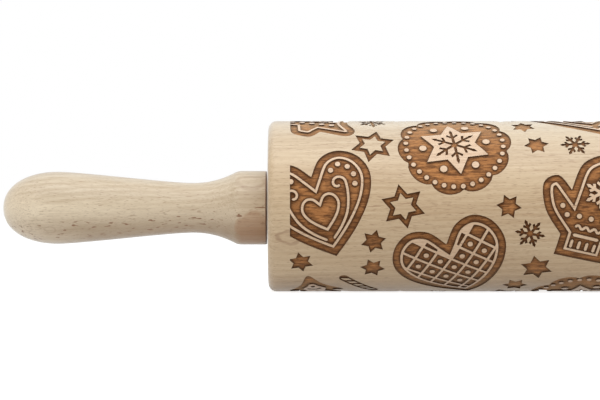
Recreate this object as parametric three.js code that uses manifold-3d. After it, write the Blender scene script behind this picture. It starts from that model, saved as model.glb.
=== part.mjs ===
// Embossed rolling pin in beech: a bored roller with an engraved winter-biscuit pattern, turning on a dowel
// that is glued into two turned handles. Millimetres, +Z up, +X along the pin. The origin is on the table,
// under the middle of the roller.
import * as THREE from "three";
import { mergeVertices } from "three/addons/utils/BufferGeometryUtils.js";
import Module from "manifold-3d";

// Roller
const ROLLER_DIAMETER = 63;
const ROLLER_LENGTH = 232;
const ROLLER_EDGE_ROUND = 3;
const ROLLER_FACETS = 32; // a multiple of four, so that a flat lies at the bottom and at each side
const BORE_CHAMFER = 0.8;

// Axle: a plain dowel through the roller. It lies on the bore's floor, so it sits a little low.
const AXLE_DIAMETER = 12;
const AXLE_CHAMFER = 1;
const AXLE_SEAT_GAP = 0.3;
const AXLE_DROP = 0.6; // from the roller's axis to the axle's
const END_FLOAT = 0.5; // between each end of the roller and its handle

// Handle, measured along the pin from its flat face
const HANDLE_LENGTH = 97.6;
const COLLAR_DIAMETER = 27.2;
const COLLAR_LENGTH = 9.4;
const COLLAR_CHAMFER = 0.5;
const SHOULDER_LENGTH = 3; // the rounded step from the collar into the flare
const SHOULDER_DROP = 0.85;
const NECK_DIAMETER = 18.4;
const NECK_POSITION = 27.5;
const GRIP_DIAMETER = 26.7;
const GRIP_POSITION = 77.5; // where the grip is widest
const SOCKET_DEPTH = 32;
const GLUE_GAP = 0.3; // round the axle and past its end

// Engraving
const ENGRAVING_DEPTH = 0.5;
const PLAIN_MARGIN = 8.1; // bare wood at each end of the roller
const BISCUIT_SIZE = 41.5;
const ROW_SPACING = 49; // wanted round the roller, and fitted to a whole number of rows
const COLUMN_SPACING = 48.5; // along the roller
const ICING_INSET = 2.8; // from a biscuit's edge to its piped line
const ICING_WIDTH = 1.1;
const ICING_STAR_SHARE = 0.62; // of the round biscuit's size
const PEARL_DIAMETER = 2.6; // raised dots of icing
const LARGE_STAR_SIZE = 16.5;
const STAR_SIZE = 12;
const SMALL_STAR_SIZE = 9.2;
const STAR_LINE_WIDTH = 1.7;
const SMALLEST_BEND = 0.12; // a point is left out where the outline would move less
const WELD_DISTANCE = 0.001; // points of two strips that are nearer than this are one point
const CUTTER_OVERRUN = 1; // how far a cutter stands past the wood, and a raised form past its cutter

const HANDLE_FACETS = 28;
const BEECH = { color: 0xd8bf9a, roughness: 0.62, metalness: 0 };
const PALE_BEECH = { color: 0xd3bfa2, roughness: 0.58, metalness: 0 };
const DOWEL_BEECH = { color: 0xc9a97e, roughness: 0.7, metalness: 0 };

const rollerRadius = ROLLER_DIAMETER / 2;
const axleRadius = AXLE_DIAMETER / 2;
const boreRadius = axleRadius + AXLE_DROP + AXLE_SEAT_GAP;
const facetAngle = (2 * Math.PI) / ROLLER_FACETS;
const stripWidth = (Math.PI * ROLLER_DIAMETER) / ROLLER_FACETS;
const handleFace = ROLLER_LENGTH / 2 + END_FLOAT;
const patternEnd = ROLLER_LENGTH / 2 - PLAIN_MARGIN;

const wasm = await Module();
wasm.setup();

// A solid of a closed geometry
function solidOf(geometry) {
  const bare = geometry.clone();
  bare.deleteAttribute("normal");
  bare.deleteAttribute("uv");
  const merged = mergeVertices(bare);
  return new wasm.Manifold(
    new wasm.Mesh({
      numProp: 3,
      vertProperties: new Float32Array(merged.attributes.position.array),
      triVerts: new Uint32Array(merged.index.array),
    }),
  );
}

// A turned form about X. Its profile's points are (radius, place along X).
function turned(profile, facets, start = 0) {
  return new THREE.LatheGeometry(profile, facets, start).rotateZ(-Math.PI / 2);
}

function point(x, y) {
  return new THREE.Vector2(x, y);
}

function arc(centre, radius, fromAngle, toAngle, steps) {
  return Array.from({ length: steps + 1 }, (_, i) => {
    const angle = fromAngle + ((toAngle - fromAngle) * i) / steps;
    return point(centre.x + radius * Math.cos(angle), centre.y + radius * Math.sin(angle));
  });
}

// Biscuit outlines. They run anticlockwise, one unit high, about their own middle, with X along the roller.

// A smooth closed line through hand-chosen points. A point that is listed twice makes a corner.
function smoothOutline(shares) {
  const knots = shares.map(([x, y]) => point(x, y));
  const corner = knots.findIndex((p, i) => p.equals(knots.at(i - 1)));
  const runs = [[]];
  for (const p of [...knots.slice(corner), ...knots.slice(0, corner)]) {
    if (runs.at(-1).at(-1)?.equals(p)) runs.push([]);
    runs.at(-1).push(p);
  }
  return runs.flatMap((run) => {
    const spans = run.length - 1;
    return new THREE.SplineCurve(run).getPoints(spans === 1 ? 1 : 2 * spans).slice(0, -1);
  });
}

// Both sides of a form whose left half is given from the top down, with its ends round or sharp
function mirroredOutline(leftShares, hasSharpEnds) {
  const rightShares = leftShares.map(([x, y]) => [-x, y]).reverse();
  return smoothOutline([...leftShares, ...(hasSharpEnds ? rightShares : rightShares.slice(1, -1))]);
}

function scallopedOutline() {
  const scallops = 10;
  const reachShares = [0.455, 0.495, 0.495]; // at a notch, and on the round beside it
  const steps = reachShares.length * scallops;
  return Array.from({ length: steps }, (_, i) =>
    point(0, reachShares[i % reachShares.length]).rotateAround(point(0, 0), (2 * Math.PI * i) / steps),
  );
}

const heartShares = [
  [0, 0.27],
  [-0.12, 0.42],
  [-0.29, 0.46],
  [-0.44, 0.36],
  [-0.5, 0.17],
  [-0.43, -0.04],
  [-0.26, -0.25],
  [0, -0.48],
];
const bellShares = [
  [0, 0.5],
  [-0.085, 0.46],
  [-0.08, 0.36],
  [-0.08, 0.36],
  [-0.2, 0.28],
  [-0.26, 0.08],
  [-0.3, -0.12],
  [-0.42, -0.26],
  [-0.38, -0.37],
  [-0.14, -0.38],
  [-0.14, -0.38],
  [-0.09, -0.48],
  [0, -0.5],
];
const firShares = [
  [0, 0.5],
  [-0.1, 0.34],
  [-0.25, 0.17],
  [-0.15, 0.15],
  [-0.35, -0.09],
  [-0.22, -0.12],
  [-0.44, -0.36],
  [-0.11, -0.37],
  [-0.11, -0.37],
  [-0.11, -0.5],
  [-0.11, -0.5],
  [0, -0.5],
];
const mittenShares = [
  [-0.2, -0.5],
  [-0.2, -0.5],
  [0.24, -0.5],
  [0.24, -0.5],
  [0.24, -0.3],
  [0.24, -0.3],
  [0.3, 0],
  [0.27, 0.34],
  [0.06, 0.5],
  [-0.15, 0.37],
  [-0.2, 0.1],
  [-0.2, 0.1],
  [-0.34, 0.2],
  [-0.45, 0.1],
  [-0.38, -0.12],
  [-0.2, -0.3],
  [-0.2, -0.3],
];

// A star of two crossed triangles
function starOutline() {
  const points = 6;
  return Array.from({ length: 2 * points }, (_, i) => {
    const radius = i % 2 === 0 ? 0.5 : 0.5 / Math.sqrt(3);
    return point(0, radius).rotateAround(point(0, 0), (Math.PI * i) / points);
  });
}

// Where flat art goes on the roller: scaled, tilted and moved to a place along and round it
function placed(outline, { size, tilt, along, round }) {
  return outline.map((p) =>
    p
      .clone()
      .multiplyScalar(size)
      .rotateAround(point(0, 0), tilt)
      .add(point(along, round)),
  );
}

function distanceToOutline(p, outline) {
  const distances = outline.map((a, i) => {
    const side = outline[(i + 1) % outline.length].clone().sub(a);
    const share = THREE.MathUtils.clamp(p.clone().sub(a).dot(side) / side.lengthSq(), 0, 1);
    return p.distanceTo(a.clone().addScaledVector(side, share));
  });
  return Math.min(...distances);
}

// An outline moved inwards, without the points that would then lie too near to its edge
function inset(outline, distance) {
  const leastSquareness = 0.4; // so that the point of a sharp corner doesn't move too far
  const nearestShare = 0.97; // of the distance
  const moved = outline.map((p, i) => {
    const before = p.clone().sub(outline.at(i - 1)).normalize();
    const after = outline[(i + 1) % outline.length].clone().sub(p).normalize();
    const inward = point(-before.y - after.y, before.x + after.x).normalize();
    const squareness = Math.max(inward.dot(point(-before.y, before.x)), leastSquareness);
    return p.clone().addScaledVector(inward, distance / squareness);
  });
  return withoutLoops(moved.filter((p) => distanceToOutline(p, outline) > nearestShare * distance));
}

// Leaves out each point without which an outline would move less than the smallest bend
function withoutIdlePoints(outline) {
  const idle = outline.findIndex((p, i) => {
    const side = [outline.at(i - 1), outline[(i + 1) % outline.length]];
    return distanceToOutline(p, side) < SMALLEST_BEND;
  });
  return idle < 0 ? outline : withoutIdlePoints(outline.toSpliced(idle, 1));
}

// Cuts off the small loops that an inset outline makes where it is pinched
function withoutLoops(outline) {
  const count = outline.length;
  for (let i = 0; i < count; i += 1) {
    for (let j = i + 2; j < count - (i === 0 ? 1 : 0); j += 1) {
      const crossing = crossingOf(outline[i], outline[i + 1], outline[j], outline[(j + 1) % count]);
      if (crossing) {
        const kept = [...outline.slice(0, i + 1), crossing, ...outline.slice(j + 1)];
        return withoutLoops(j - i < count / 2 ? kept : [crossing, ...outline.slice(i + 1, j + 1)]);
      }
    }
  }
  return outline;
}

function crossingOf(a, b, c, d) {
  const along = b.clone().sub(a);
  const across = d.clone().sub(c);
  const turn = along.cross(across);
  const t = c.clone().sub(a).cross(across) / turn;
  const u = c.clone().sub(a).cross(along) / turn;
  return t > 0 && t < 1 && u > 0 && u < 1 ? a.clone().addScaledVector(along, t) : null;
}

// The roller's wood is cut unrolled: X is along the roller, Y round it from the front upwards, and Z is the
// distance from the roller's axis. The strips between its corners are rolled up afterwards.

function slab(outline, lowest, highest) {
  const settings = { depth: highest - lowest, bevelEnabled: false };
  const shape = new THREE.Shape(withoutIdlePoints(outline));
  return solidOf(new THREE.ExtrudeGeometry(shape, settings).translate(0, 0, lowest));
}

const floorRadius = rollerRadius - ENGRAVING_DEPTH;

function recess(outline) {
  return slab(outline, floorRadius, rollerRadius + CUTTER_OVERRUN);
}

// What a recess leaves standing
function raised(outline) {
  return slab(outline, floorRadius - CUTTER_OVERRUN, rollerRadius + 2 * CUTTER_OVERRUN);
}

function pearl(place) {
  const sides = 6;
  return raised(arc(place, PEARL_DIAMETER / 2, 0, 2 * Math.PI, sides).slice(0, sides));
}

// A biscuit: sunk all over, apart from its icing and a few pearls
function biscuit({ outline, icing, pearlShares }, place) {
  const edge = placed(outline, place);
  const pearls = placed(pearlShares.map(([x, y]) => point(x, y)), place);
  return recess(edge).subtract(pearls.reduce((solid, p) => solid.add(pearl(p)), icing(edge, place)));
}

function icingLine(edge) {
  return raised(inset(edge, ICING_INSET)).subtract(raised(inset(edge, ICING_INSET + ICING_WIDTH)));
}

function icingAllOver(edge) {
  return raised(inset(edge, ICING_INSET));
}

function icingStar(edge, place) {
  return raised(placed(starOutline(), { ...place, size: BISCUIT_SIZE * ICING_STAR_SHARE }));
}

const heart = {
  outline: mirroredOutline(heartShares, true),
  tilt: 0.3,
  icing: icingLine,
  pearlShares: [
    [-0.13, 0.1],
    [0.13, 0.1],
  ],
};
const bell = {
  outline: mirroredOutline(bellShares, false),
  tilt: -0.35,
  icing: icingLine,
  pearlShares: [[0, -0.13]],
};
const scallopedRound = { outline: scallopedOutline(), tilt: 0.15, icing: icingStar, pearlShares: [] };
const fir = { outline: mirroredOutline(firShares, false), tilt: 0.22, icing: icingAllOver, pearlShares: [] };
const mitten = {
  outline: smoothOutline(mittenShares),
  tilt: -0.25,
  icing: icingLine,
  pearlShares: [[0.05, 0.12]],
};
const biscuits = [heart, bell, scallopedRound, fir, mitten];

function outlineStar(place) {
  const edge = placed(starOutline(), { ...place, size: LARGE_STAR_SIZE });
  return recess(edge).subtract(raised(inset(edge, STAR_LINE_WIDTH)));
}

function solidStar(size) {
  return (place) => recess(placed(starOutline(), { ...place, size }));
}

const stars = [solidStar(SMALL_STAR_SIZE), outlineStar, solidStar(SMALL_STAR_SIZE), solidStar(STAR_SIZE)];

// Every cut of the pattern: biscuits in staggered rows and columns, with stars in the gaps between them
function patternCuts() {
  const rows = Math.round((Math.PI * ROLLER_DIAMETER) / ROW_SPACING);
  const rowSpacing = (Math.PI * ROLLER_DIAMETER) / rows;
  const columns = Math.round((2 * patternEnd) / COLUMN_SPACING) + 1;
  const gapShare = 0.39; // of the column spacing, from a column to the middle of the gap beside it
  const firstTilt = 0.65;
  const tiltStep = 0.2; // from a star to the next
  const cuts = [];
  for (let column = 0; column < columns; column += 1) {
    const along = (column - (columns - 1) / 2) * COLUMN_SPACING;
    const stagger = column % 2 === 0 ? 0 : 0.5;
    for (let turn = -1; turn <= rows; turn += 1) {
      const round = (turn + stagger) * rowSpacing;
      const row = (turn + rows) % rows;
      const kind = biscuits[(2 * column + row) % biscuits.length];
      cuts.push(biscuit(kind, { size: BISCUIT_SIZE, tilt: kind.tilt, along, round }));
      for (const side of [0, 1]) {
        const gap = along + (2 * side - 1) * gapShare * COLUMN_SPACING;
        if (Math.abs(gap) > patternEnd) continue;
        const star = stars[(row + 2 * column + side) % stars.length];
        const tilt = firstTilt + tiltStep * (row + side);
        cuts.push(star({ tilt, along: gap, round: round + rowSpacing / 2 }));
      }
    }
  }
  return cuts;
}

// The pattern stops square at a plain margin, through whatever motif lies there
function patternBand() {
  const reach = 2 * Math.PI * ROLLER_DIAMETER;
  const sheet = [
    point(-patternEnd, -reach),
    point(patternEnd, -reach),
    point(patternEnd, reach),
    point(-patternEnd, reach),
  ];
  return slab(sheet, floorRadius - CUTTER_OVERRUN, rollerRadius + 2 * CUTTER_OVERRUN);
}

// The wood between two corners of the roller, unrolled, from the bore to the rolling surface
function blankStrip(strip) {
  const end = ROLLER_LENGTH / 2;
  const edge = point(end - ROLLER_EDGE_ROUND, rollerRadius - ROLLER_EDGE_ROUND);
  const rightEnd = [
    point(end - BORE_CHAMFER, boreRadius),
    point(end, boreRadius + BORE_CHAMFER),
    ...arc(edge, ROLLER_EDGE_ROUND, 0, Math.PI / 2, 4),
  ];
  const leftEnd = rightEnd.map((p) => point(-p.x, p.y)).reverse();
  const settings = { depth: stripWidth, bevelEnabled: false };
  const block = new THREE.ExtrudeGeometry(new THREE.Shape([...rightEnd, ...leftEnd]), settings);
  return solidOf(block.rotateX(Math.PI / 2).translate(0, (strip + 0.5) * stripWidth, 0));
}

// Rolls an unrolled strip's points up about X. Strip zero faces the front, and its flat is on the diameter.
function rolledUp([x, y, z], strip) {
  const share = y / stripWidth - strip + 0.5;
  const [lower, upper] = [strip - 0.5, strip + 0.5].map((corner) => {
    const angle = corner * facetAngle;
    return point(-Math.cos(angle), Math.sin(angle));
  });
  const across = lower.lerp(upper, share).multiplyScalar(z / Math.cos(facetAngle / 2));
  const isOnJoint = Math.min(share, 1 - share) * stripWidth < WELD_DISTANCE;
  return { place: new THREE.Vector3(x, across.x, across.y), isOnJoint, isUpper: share > 0.5 };
}

// The faces that take a face's place where corners of the next strip lie on its side along the joint
function withJointCorners([a, b, c], places, joints) {
  for (const [from, to, far] of [[a, b, c], [b, c, a], [c, a, b]]) {
    if (!joints.includes(from) || !joints.includes(to)) continue;
    const span = places[from].distanceTo(places[to]);
    const between = joints.filter((k) => {
      const detour = places[from].distanceTo(places[k]) + places[k].distanceTo(places[to]) - span;
      return k !== from && k !== to && detour < WELD_DISTANCE ** 2;
    });
    if (between.length === 0) continue;
    between.sort((p, q) => places[from].distanceTo(places[p]) - places[from].distanceTo(places[q]));
    return [...between, to].map((k, i) => [[from, ...between][i], k, far]);
  }
  return [[a, b, c]];
}

// The roller: its strips, cut by the pattern, rolled up and joined where they meet
function roller() {
  const pattern = patternCuts().reduce((all, cut) => all.add(cut)).intersect(patternBand());
  const places = [];
  const joints = [];
  const faces = [];
  for (let strip = 0; strip < ROLLER_FACETS; strip += 1) {
    const { vertProperties, triVerts } = blankStrip(strip).subtract(pattern).getMesh();
    const points = Array.from({ length: vertProperties.length / 3 }, (_, i) =>
      rolledUp(vertProperties.slice(3 * i, 3 * i + 3), strip),
    );
    const numbers = points.map(({ place, isOnJoint }) => {
      const twin = isOnJoint && joints.find((k) => places[k].distanceTo(place) < WELD_DISTANCE);
      if (typeof twin === "number") return twin;
      places.push(place);
      if (isOnJoint) joints.push(places.length - 1);
      return places.length - 1;
    });
    for (let i = 0; i < triVerts.length; i += 3) {
      const face = [...triVerts.slice(i, i + 3)];
      const { isUpper } = points[face[0]];
      const isJoint = face.every((j) => points[j].isOnJoint && points[j].isUpper === isUpper);
      if (!isJoint) faces.push(face.map((j) => numbers[j]));
    }
  }
  const whole = faces.flatMap((face) => withJointCorners(face, places, joints));
  const geometry = new THREE.BufferGeometry().setFromPoints(places);
  geometry.setIndex(whole.flat());
  geometry.computeVertexNormals();
  return geometry;
}

function axle() {
  const end = handleFace + SOCKET_DEPTH - GLUE_GAP;
  const profile = [
    point(0, -end),
    point(axleRadius - AXLE_CHAMFER, -end),
    point(axleRadius, -end + AXLE_CHAMFER),
    point(axleRadius, end - AXLE_CHAMFER),
    point(axleRadius - AXLE_CHAMFER, end),
    point(0, end),
  ];
  return turned(profile, HANDLE_FACETS);
}

// The handle's domed end, a little fuller than an ellipse. Below one, a power makes it fuller.
function domePoints(steps) {
  const radiusPower = 0.9;
  const lengthPower = 0.96;
  const length = HANDLE_LENGTH - GRIP_POSITION;
  return Array.from({ length: steps }, (_, i) => {
    const angle = (Math.PI / 2) * ((i + 1) / steps);
    const radius = (GRIP_DIAMETER / 2) * Math.max(Math.cos(angle), 0) ** radiusPower;
    return point(i + 1 === steps ? 0 : radius, GRIP_POSITION + length * Math.sin(angle) ** lengthPower);
  });
}

// A handle along +X from its flat face at zero
function handle() {
  const socketRadius = axleRadius + GLUE_GAP;
  const collarRadius = COLLAR_DIAMETER / 2;
  const neckRadius = NECK_DIAMETER / 2;
  const gripRadius = GRIP_DIAMETER / 2;
  const shoulderEnd = COLLAR_LENGTH + SHOULDER_LENGTH;
  const shoulderRadius = collarRadius - SHOULDER_DROP;
  const flareLength = NECK_POSITION - shoulderEnd;
  const gripLength = GRIP_POSITION - NECK_POSITION;
  const shoulderPullShare = 0.55; // how far along its part each curve's control point lies
  const flareDropShare = 0.52;
  const flareStartShare = 0.25;
  const flareEndShare = 0.45;
  const gripPullShare = 0.17;
  const shoulder = new THREE.QuadraticBezierCurve(
    point(collarRadius, COLLAR_LENGTH),
    point(collarRadius, COLLAR_LENGTH + shoulderPullShare * SHOULDER_LENGTH),
    point(shoulderRadius, shoulderEnd),
  );
  const flare = new THREE.CubicBezierCurve(
    point(shoulderRadius, shoulderEnd),
    point(
      shoulderRadius - flareDropShare * (shoulderRadius - neckRadius),
      shoulderEnd + flareStartShare * flareLength,
    ),
    point(neckRadius, NECK_POSITION - flareEndShare * flareLength),
    point(neckRadius, NECK_POSITION),
  );
  const grip = new THREE.CubicBezierCurve(
    point(neckRadius, NECK_POSITION),
    point(neckRadius, NECK_POSITION + gripPullShare * gripLength),
    point(gripRadius, GRIP_POSITION - gripPullShare * gripLength),
    point(gripRadius, GRIP_POSITION),
  );
  const profile = [
    point(0, SOCKET_DEPTH),
    point(socketRadius, SOCKET_DEPTH),
    point(socketRadius, 0),
    point(collarRadius - COLLAR_CHAMFER, 0),
    point(collarRadius, COLLAR_CHAMFER),
    ...shoulder.getPoints(2),
    ...flare.getPoints(5).slice(1),
    ...grip.getPoints(6).slice(1),
    ...domePoints(8),
  ];
  return turned(profile, HANDLE_FACETS);
}

function beechPiece(name, geometry, finish) {
  const piece = new THREE.Mesh(geometry, new THREE.MeshStandardMaterial(finish));
  piece.name = name;
  return piece;
}

const pin = new THREE.Group();
pin.position.z = rollerRadius;
pin.add(beechPiece("roller", roller(), BEECH));

// The dowel and its two handles turn together
const spindle = new THREE.Group();
spindle.position.z = -AXLE_DROP;
pin.add(spindle);
spindle.add(beechPiece("axle", axle(), DOWEL_BEECH));
for (const [name, side] of [
  ["handle_left", -1],
  ["handle_right", 1],
]) {
  const piece = beechPiece(name, handle(), PALE_BEECH);
  piece.position.x = side * handleFace;
  piece.rotation.z = side < 0 ? Math.PI : 0;
  spindle.add(piece);
}

export default pin;
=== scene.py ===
"""A beech rolling pin with an engraved winter-biscuit pattern, on a pale floor. Metres."""

import math
from collections import namedtuple

import bpy
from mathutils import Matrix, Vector


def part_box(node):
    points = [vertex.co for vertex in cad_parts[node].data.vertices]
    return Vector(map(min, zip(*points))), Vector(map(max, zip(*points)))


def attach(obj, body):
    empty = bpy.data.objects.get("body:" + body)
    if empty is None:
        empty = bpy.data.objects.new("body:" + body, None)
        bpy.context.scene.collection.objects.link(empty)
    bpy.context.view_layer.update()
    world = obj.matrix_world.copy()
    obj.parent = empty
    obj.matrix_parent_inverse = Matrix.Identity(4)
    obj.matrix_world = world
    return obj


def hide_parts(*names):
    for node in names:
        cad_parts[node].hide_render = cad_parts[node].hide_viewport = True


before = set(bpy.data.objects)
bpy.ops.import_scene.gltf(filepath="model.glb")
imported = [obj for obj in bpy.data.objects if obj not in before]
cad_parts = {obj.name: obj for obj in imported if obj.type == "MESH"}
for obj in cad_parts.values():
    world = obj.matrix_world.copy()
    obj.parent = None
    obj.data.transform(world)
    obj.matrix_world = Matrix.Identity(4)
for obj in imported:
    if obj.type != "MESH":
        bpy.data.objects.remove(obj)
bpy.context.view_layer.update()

# What the frame gives
roller_low, roller_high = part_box("roller")
axle_low, axle_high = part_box("axle")
left_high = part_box("handle_left")[1]
right_low, right_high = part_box("handle_right")
ROLLER_LENGTH = roller_high.x - roller_low.x
ROLLER_RADIUS = (roller_high.z - roller_low.z) / 2
ROLLER_HEIGHT = (roller_high.z + roller_low.z) / 2
AXLE_RADIUS = (axle_high.z - axle_low.z) / 2
AXLE_HEIGHT = (axle_high.z + axle_low.z) / 2
HANDLE_LENGTH = right_high.x - right_low.x

# Roller
BORE_RADIUS = 0.0069
BORE_CHAMFER = 0.0008
END_ROUND = 0.003
END_ROUND_STEPS = 6
ROLL_STRIPS = 144  # flats that the engraved wood is rolled up from

# Handle, measured along the pin from its flat face
SOCKET_DEPTH = 0.032
SOCKET_GAP = 0.0003
SOCKET_CHAMFER = 0.0006
FACE_RING = 0.003
COLLAR_RADIUS = 0.0136
COLLAR_LENGTH = 0.0094
COLLAR_CHAMFER = 0.0005
SHOULDER_LENGTH = 0.003
SHOULDER_DROP = 0.00085
NECK_RADIUS = 0.0092
NECK_POSITION = 0.0275
GRIP_RADIUS = 0.01335
GRIP_POSITION = 0.0775
HANDLE_SIDES = 96

# Where the handle's curves are pulled to, in shares of each stretch
SHOULDER_PULL = 0.55
FLARE_START_PULL = 0.25
FLARE_START_DROP = 0.52
FLARE_END_PULL = 0.45
GRIP_PULL = 0.17

# Domed end of the handle, where a power under 1 makes the dome fuller
DOME_STEPS = 20
DOME_LENGTH_POWER = 0.96
DOME_RADIUS_POWER = 0.9

# Engraving
ENGRAVING_DEPTH = 0.0005
PLAIN_MARGIN = 0.0081
BISCUIT_SIZE = 0.0415
ROW_SPACING = 0.049
COLUMN_SPACING = 0.0485
STAR_OFFSET = 0.39  # from a biscuit's middle, in column spacings
ICING_INSET = 0.0028
ICING_WIDTH = 0.00085
PIPING_WIDTH = 0.001
QUILT_SPACING = 0.0058
LARGE_STAR_SIZE = 0.0165
LARGE_STAR_LINE = 0.0017
STAR_SIZE = 0.012
SMALL_STAR_SIZE = 0.0092
LOOSE_STAR_SIZE = 0.0094
LOOSE_FLAKE_SIZE = 0.0112
STICK_LENGTH = 0.019
STICK_WIDTH = 0.0036
STRIPE_WIDTH = 0.0018

# Worked out from those
CIRCUMFERENCE = 2 * math.pi * ROLLER_RADIUS
ROWS = round(CIRCUMFERENCE / ROW_SPACING)
PATTERN_END = ROLLER_LENGTH / 2 - PLAIN_MARGIN

# Limits of drawing and modelling
LEAST_SQUARENESS = 0.4  # keeps the points of sharp corners from moving far in an inset
INSET_TOLERANCE = 0.97
TINY = 0.00001
MERGE_DISTANCE = TINY / 10
JOINT_MERGE_DISTANCE = TINY / 2
CUT_MARGIN = TINY / 100
FLAT_ANGLE = math.radians(0.1)
SMOOTH_ANGLE = math.radians(30)
SQUARELY = 0.9  # the share of a normal that counts as facing along an axis


# Flat art. X runs along the roller and Y round it, and outlines run anticlockwise.

def sides_of(outline):
    """The pairs of neighbouring points all round a closed outline."""
    return zip(outline, outline[1:] + outline[:1])


def middle_of(outline):
    return sum(outline, Vector((0, 0))) / len(outline)


def scaled(outline, size):
    return [point * size for point in outline]


def smooth_outline(shares):
    """A smooth closed line through given points. Each point that is listed twice makes a corner."""
    knots = [Vector(share) for share in shares]
    first = next(i for i, knot in enumerate(knots) if knot == knots[i - 1])
    runs = [[]]
    for knot in knots[first:] + knots[:first]:
        if runs[-1] and runs[-1][-1] == knot:
            runs.append([])
        runs[-1].append(knot)
    return [point for run in runs for point in smooth_run(run, steps=5)]


def smooth_run(knots, steps):
    """A smooth line through points, without the last one. Two points make a straight side."""
    last = len(knots) - 1
    if last < 2:
        return knots[:1]
    line = []
    for i in range(last):
        before, start, end, after = knots[max(i - 1, 0)], knots[i], knots[i + 1], knots[min(i + 2, last)]
        leaving, arriving = (end - before) / 2, (after - start) / 2
        for step in range(steps):
            t = step / steps
            cubic = (2 * start - 2 * end + leaving + arriving) * t**3
            square = (-3 * start + 3 * end - 2 * leaving - arriving) * t**2
            line.append(cubic + square + leaving * t + start)
    return line


def mirrored_outline(left_shares, has_sharp_ends):
    """Both sides of a form whose left half is given from the top down."""
    right_shares = [(-x, y) for x, y in reversed(left_shares)]
    return smooth_outline(left_shares + (right_shares if has_sharp_ends else right_shares[1:-1]))


def round_outline(size, middle=(0, 0), sides=16):
    turns = [2 * math.pi * i / sides for i in range(sides)]
    return [Vector(middle) + size / 2 * Vector((math.cos(t), math.sin(t))) for t in turns]


def pearl(size, middle):
    return round_outline(size, middle, sides=12)


def scalloped_outline():
    """A round biscuit with a scalloped edge, one unit across at most."""
    scallops, steps = 10, 8
    hollow_reach = 0.455
    swell = 0.045
    fullness = 0.7
    outline = []
    for i in range(scallops * steps):
        turn = 2 * math.pi * i / (scallops * steps)
        reach = hollow_reach + swell * abs(math.sin(scallops * turn / 2)) ** fullness
        outline.append(Vector((-reach * math.sin(turn), reach * math.cos(turn))))
    return outline


def star_outline(size, middle=(0, 0), tilt=0.0):
    """A star of two crossed triangles."""
    tip_reach = size / 2
    hollow_reach = tip_reach / math.sqrt(3)
    outline = []
    for i in range(12):
        reach = tip_reach if i % 2 == 0 else hollow_reach
        turn = tilt + math.pi * i / 6
        outline.append(Vector(middle) + reach * Vector((-math.sin(turn), math.cos(turn))))
    return outline


def flake_outline(size, width, middle=(0, 0), tilt=0.0):
    """A snowflake: six arms, each with a pair of twigs and a pointed end."""
    reach = size / 2
    half = width / 2
    twig = 0.2 * reach
    twig_foot = 0.4 * reach
    twig_tip = twig_foot + 0.8 * twig
    right_side = [
        (half, twig_foot),
        (half + twig, twig_tip),
        (half + twig - 0.45 * width, twig_tip + 0.9 * width),
        (half, twig_foot + 1.15 * width),
        (half, 0.76 * reach),
        (1.3 * half, 0.82 * reach),
    ]
    left_side = [(-x, y) for x, y in reversed(right_side)]
    outline = []
    for i in range(6):
        turn = tilt + i * math.pi / 3
        across, along = Vector((math.cos(turn), math.sin(turn))), Vector((-math.sin(turn), math.cos(turn)))
        hollow = along * math.cos(math.pi / 6) + across * math.sin(math.pi / 6)
        points = [across * x + along * y for x, y in right_side + [(0, reach)] + left_side]
        outline += [Vector(middle) + point for point in [hollow * 1.15 * width] + points]
    return outline


def stroke(points, width):
    """A line of even width with pointed-round ends."""
    points = [Vector(p) for p in points]
    left, right = [], []
    for i, point in enumerate(points):
        along = (points[min(i + 1, len(points) - 1)] - points[max(i - 1, 0)]).normalized()
        side = Vector((-along.y, along.x)) * width / 2
        left.append(point + side)
        right.append(point - side)
    start = points[0] - (points[1] - points[0]).normalized() * width / 2
    end = points[-1] + (points[-1] - points[-2]).normalized() * width / 2
    return [start] + right + [end] + left[::-1]


def wave_line(start, end, waves, swing):
    """A wavy line between two places."""
    steps_a_wave = 6
    count = waves * steps_a_wave
    span = Vector(end) - Vector(start)
    side = Vector((-span.y, span.x)).normalized()
    places = [i / count for i in range(count + 1)]
    return [Vector(start) + span * t + side * swing * math.sin(2 * math.pi * waves * t) for t in places]


def sagging_line(half_width, height, sag):
    """A line that hangs between two places of one height."""
    steps = 8
    shares = [2 * i / steps - 1 for i in range(steps + 1)]
    return [(half_width * share, height - sag * (1 - share**2)) for share in shares]


def distance_to(point, outline):
    """How far a point lies from the nearest place on a closed outline."""
    distances = []
    for start, end in sides_of(outline):
        side = end - start
        share = min(max((point - start).dot(side) / side.length_squared, 0), 1)
        distances.append((start + side * share - point).length)
    return min(distances)


def crossing(a, b, c, d):
    """Where the line from a to b crosses the line from c to d, if it does."""
    along, across = b - a, d - c
    turn = along.x * across.y - along.y * across.x
    if turn == 0:
        return None
    gap = c - a
    t = (gap.x * across.y - gap.y * across.x) / turn
    u = (gap.x * along.y - gap.y * along.x) / turn
    return a + along * t if 0 < t < 1 and 0 < u < 1 else None


def without_loops(outline):
    """Cuts off the small loops that an inset outline makes where it is pinched."""
    count = len(outline)
    for i in range(count):
        for j in range(i + 2, count - (i == 0)):
            meeting = crossing(outline[i], outline[(i + 1) % count], outline[j], outline[(j + 1) % count])
            if meeting:
                inner = outline[i + 1 : j + 1]
                outer = outline[: i + 1] + [meeting] + outline[j + 1 :]
                return without_loops(outer if len(inner) < count / 2 else [meeting] + inner)
    return outline


def inset(outline, distance):
    """An outline moved inwards, without the points that would then lie too near to its edge."""
    moved = []
    for i, point in enumerate(outline):
        before = (point - outline[i - 1]).normalized()
        after = (outline[(i + 1) % len(outline)] - point).normalized()
        inward = Vector((-before.y - after.y, before.x + after.x)).normalized()
        squareness = max(inward.dot(Vector((-before.y, before.x))), LEAST_SQUARENESS)
        moved.append(point + inward * distance / squareness)
    return without_loops([p for p in moved if distance_to(p, outline) > INSET_TOLERANCE * distance])


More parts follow.
